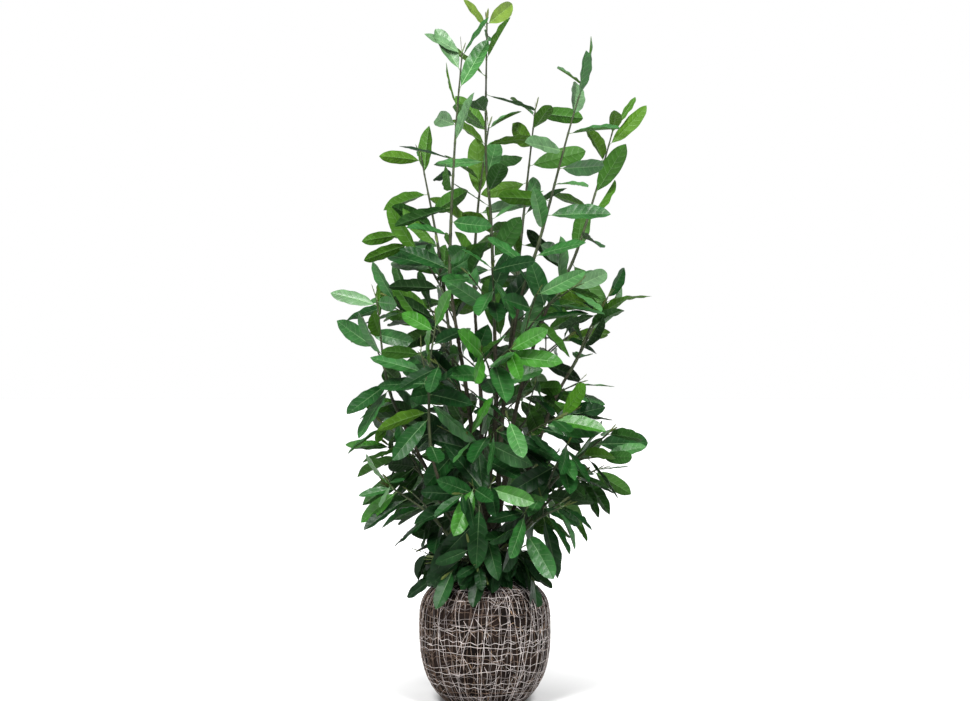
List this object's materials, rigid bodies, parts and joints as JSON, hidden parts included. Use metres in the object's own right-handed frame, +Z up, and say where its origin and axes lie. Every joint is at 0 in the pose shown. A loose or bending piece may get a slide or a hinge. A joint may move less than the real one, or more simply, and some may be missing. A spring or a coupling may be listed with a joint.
{
  "type": "root-balled cherry laurel shrub",
  "caption": "Tall evergreen cherry laurel shrub with several slender stems and broad glossy leaves, standing on its netted root ball.",
  "frame": {"origin": "centre of the flat underside of the root ball", "axes": "+Z up along the trunk, front view faces -Y, +X to the right in the front view"},
  "size_m": [0.8521, 0.7176, 1.877],
  "materials": {
    "root_ball": "matte",
    "bark": "matte",
    "leaves": "satin"
  },
  "bodies": {
    "root": {"root_ball": "root_ball", "trunk": "bark", "stem_centre": "bark", "stem_left": "bark", "stem_right": "bark", "stem_far_right": "bark", "stem_back": "bark", "stem_back_right": "bark", "stem_back_left": "bark", "stem_far_left": "bark", "stem_front_left": "bark", "stem_outer_right": "bark", "bough_right": "bark", "bough_right_back": "bark", "bough_right_low": "bark", "bough_left": "bark", "bough_left_low": "bark", "bough_front": "bark", "bough_back": "bark", "bough_back_left": "bark", "foliage_crown_centre": "leaves", "foliage_crown_left": "leaves", "foliage_crown_right": "leaves", "foliage_crown_far_right": "leaves", "foliage_crown_back": "leaves", "foliage_crown_back_right": "leaves", "foliage_crown_back_left": "leaves", "foliage_crown_far_left": "leaves", "foliage_crown_front_left": "leaves", "foliage_crown_outer_right": "leaves", "foliage_bough_right": "leaves", "foliage_bough_right_back": "leaves", "foliage_bough_right_low": "leaves", "foliage_bough_left": "leaves", "foliage_bough_left_low": "leaves", "foliage_bough_front": "leaves", "foliage_bough_back": "leaves", "foliage_bough_back_left": "leaves", "foliage_skirt_front": "leaves", "foliage_skirt_right": "leaves", "foliage_skirt_back_right": "leaves", "foliage_skirt_back_left": "leaves", "foliage_skirt_left": "leaves", "foliage_front_low_mid": "leaves", "foliage_front_mid": "leaves", "foliage_front_right_mid": "leaves", "foliage_front_left_mid": "leaves", "foliage_left_mid": "leaves", "foliage_left_high": "leaves", "foliage_far_left_low": "leaves", "foliage_right_mid": "leaves", "foliage_right_high": "leaves", "foliage_far_right_back": "leaves", "foliage_back_mid": "leaves", "foliage_back_left_mid": "leaves", "foliage_back_high": "leaves", "foliage_back_left_high": "leaves", "foliage_front_high": "leaves", "foliage_outer_right_low": "leaves"}
  },
  "joints": []
}
